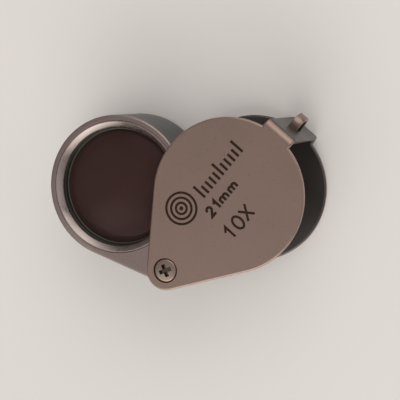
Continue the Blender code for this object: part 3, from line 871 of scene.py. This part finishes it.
# Bezel rings: bright turned rings screwed into each mouth of the bore.  Each has a narrow land, a
# 45 degree mouth and a rounded lip.
bright_ring = metal("bright_ring", (0.50, 0.43, 0.405), 0.38, 1700.0, (1.0, 1.0, 1.0), 1.0, 0.55)
LAND = 0.2 * MM
CONE = 0.9 * MM
cone_foot = RING_R - LAND
lip_r = cone_foot - CONE
ring_floor = bezel_low.z
mouth = [
    (cone_foot - 0.03 * MM, HOLDER_TOP - 0.02 * MM),
    (cone_foot, HOLDER_TOP),
    (RING_R - 0.05 * MM, HOLDER_TOP),
    (RING_R, HOLDER_TOP - 0.06 * MM),
    (RING_R, ring_floor),
    (lip_r + 0.2 * MM, ring_floor),
    (lip_r + 0.05 * MM, ring_floor + 0.05 * MM),
    (lip_r, ring_floor + 0.15 * MM),
    (lip_r, HOLDER_TOP - CONE - 0.14 * MM),
    (lip_r + 0.03 * MM, HOLDER_TOP - CONE - 0.03 * MM),
    (lip_r + 0.12 * MM, HOLDER_TOP - CONE + 0.10 * MM),
]


def fit_both_faces(name, node, profile, closed, steps, finish, slot_name):
    """Turns a piece for the front and its mirror image for the rear, and fits out both."""
    for side, shown in (("front_", profile), ("rear_", mirrored(profile))):
        piece = turned(side + name, shown, closed, steps, lens_x, lens_y)
        settle(piece)
        polish(piece)
        fit_out(piece, finish, "lens_body", slot_name, side + node)


fit_both_faces("mouth_ring", "bezel_ring", mouth, True, 192, bright_ring, "bezel_metal")


# Stop rings: black anodised rings under the bezels, each with a flared mouth and a fine lip at its
# foot.  They press on the rim of the glass.
anodised, ano_shader, ano_place, _, ano_tone = grained(
    "black_anodised", 4000.0, (0.012, 0.011, 0.009), (0.030, 0.028, 0.024), (0.36, 0.58)
)
ano_shader.inputs["Metallic"].default_value = 0.3
ano_tree = anodised.node_tree
ano_split = ano_tree.nodes.new("ShaderNodeSeparateXYZ")
ano_off = ano_tree.nodes.new("ShaderNodeMath")
ano_off.operation = "SUBTRACT"
ano_off.inputs[1].default_value = MID_Z
ano_above = ano_tree.nodes.new("ShaderNodeMath")
ano_above.operation = "ABSOLUTE"
ano_foot = ano_tree.nodes.new("ShaderNodeMapRange")
ano_foot.inputs["To Min"].default_value = 1.0
ano_foot.inputs["To Max"].default_value = 0.0
# With colours this node's sockets go by number: 6 and 7 the two colours in, 2 the one out.
ano_mix = ano_tree.nodes.new("ShaderNodeMix")
ano_mix.data_type = "RGBA"
ano_mix.inputs[7].default_value = (0.070, 0.078, 0.050, 1.0)
ano_tree.links.new(ano_place.outputs["Object"], ano_split.inputs["Vector"])
ano_tree.links.new(ano_split.outputs["Z"], ano_off.inputs[0])
ano_tree.links.new(ano_off.outputs["Value"], ano_above.inputs[0])
ano_tree.links.new(ano_above.outputs["Value"], ano_foot.inputs["Value"])
ano_tree.links.new(ano_foot.outputs["Result"], ano_mix.inputs["Factor"])
ano_tree.links.new(ano_tone.outputs["Color"], ano_mix.inputs[6])
ano_tree.links.new(ano_mix.outputs[2], ano_shader.inputs["Base Color"])

GLASS_R = 10.5 * MM
stop_r = GLASS_R - 0.38 * MM
FOOT_R = stop_r - 0.22 * MM
_, flint_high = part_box("front_flint_lens")
OUTER_SAG = 2.4 * MM
GLASS_BEVEL = 0.15 * MM
rim_r = GLASS_R - GLASS_BEVEL
glass_ball = (rim_r**2 + OUTER_SAG**2) / (2 * OUTER_SAG)


def glass_height(r):
    return flint_high.z - (glass_ball - math.sqrt(glass_ball**2 - r * r))


foot_z = glass_height(FOOT_R)
foot_top = foot_z + 0.17 * MM
ano_foot.inputs["From Min"].default_value = foot_top - MID_Z
ano_foot.inputs["From Max"].default_value = foot_top - MID_Z + 0.10 * MM
stop_profile = [
    (stop_r, stop_high.z - 0.3 * MM),
    (stop_r + 0.22 * MM, stop_high.z - 0.04 * MM),
    (stop_r + 0.30 * MM, stop_high.z),
    (RING_R, stop_high.z),
    (RING_R, stop_low.z),
    (GLASS_R, stop_low.z),
    (stop_r, glass_height(stop_r) + 0.02 * MM),
    (FOOT_R + 0.03 * MM, foot_z + 0.02 * MM),
    (FOOT_R, foot_z + 0.05 * MM),
    (FOOT_R + 0.06 * MM, foot_z + 0.14 * MM),
    (stop_r - 0.02 * MM, foot_z + 0.20 * MM),
    (stop_r, foot_z + 0.28 * MM),
]
fit_both_faces("stop", "stop_ring", stop_profile, True, 192, anodised, "black_anodised")


# Glass: a thick biconvex crown between two flint menisci, ground to one edge and coated.  They are
# cemented together, and the stop rings hold them in the bore.
_, crown_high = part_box("crown_lens")
crown_half = crown_high.z - MID_Z
CROWN_EDGE = 0.8 * MM
CEMENT = 0.03 * MM
crown_sag = crown_half - CROWN_EDGE / 2
crown_ball = (GLASS_R**2 + crown_sag**2) / (2 * crown_sag)


def crown_height(r):
    return MID_Z + crown_half - (crown_ball - math.sqrt(crown_ball**2 - r * r))


def glass(name, tint, index):
    """Coated optical glass coloured by the given tint, with a trace of dust on it."""
    dark, light = [c * 0.92 for c in tint], [c * 1.08 for c in tint]
    finish, shader, _, dust, tone = grained(name, 260.0, dark, light, (0.01, 0.06))
    shader.inputs["Transmission Weight"].default_value = 0.80
    shader.inputs["IOR"].default_value = index
    shader.inputs["Specular IOR Level"].default_value = 0.2
    shader.inputs["Specular Tint"].default_value = (0.26, 0.20, 0.22, 1.0)
    dust.inputs["Detail"].default_value = 6.0
    tone.color_ramp.elements[0].position = 0.3
    tone.color_ramp.elements[1].position = 0.75
    return finish


# Painted shade: the glass is tinted dark and warm so that it stands in for the dark, shaded view
# through the lens, instead of reading as clear glass.
GLASS_SHADE_TINT = (0.205, 0.115, 0.105)
flint_finish = glass("flint_glass", GLASS_SHADE_TINT, 1.45)
crown_finish = glass("crown_glass", GLASS_SHADE_TINT, 1.40)
COUNT = 28
crown_top = [(GLASS_R * i / COUNT, crown_height(GLASS_R * i / COUNT)) for i in range(COUNT + 1)]
crown = turned("crown_body", crown_top + mirrored(crown_top), False, 128, lens_x, lens_y)
settle(crown)
polish(crown)
fit_out(crown, crown_finish, "lens_body", "crown_glass", "crown_lens")
outer = [(rim_r * i / COUNT, glass_height(rim_r * i / COUNT)) for i in range(COUNT + 1)]
cement_face = [(r, z + CEMENT) for r, z in crown_top[::-1]]
flint_profile = outer + [(GLASS_R, outer[-1][1] - GLASS_BEVEL)] + cement_face
fit_both_faces("flint", "flint_lens", flint_profile, False, 128, flint_finish, "flint_glass")
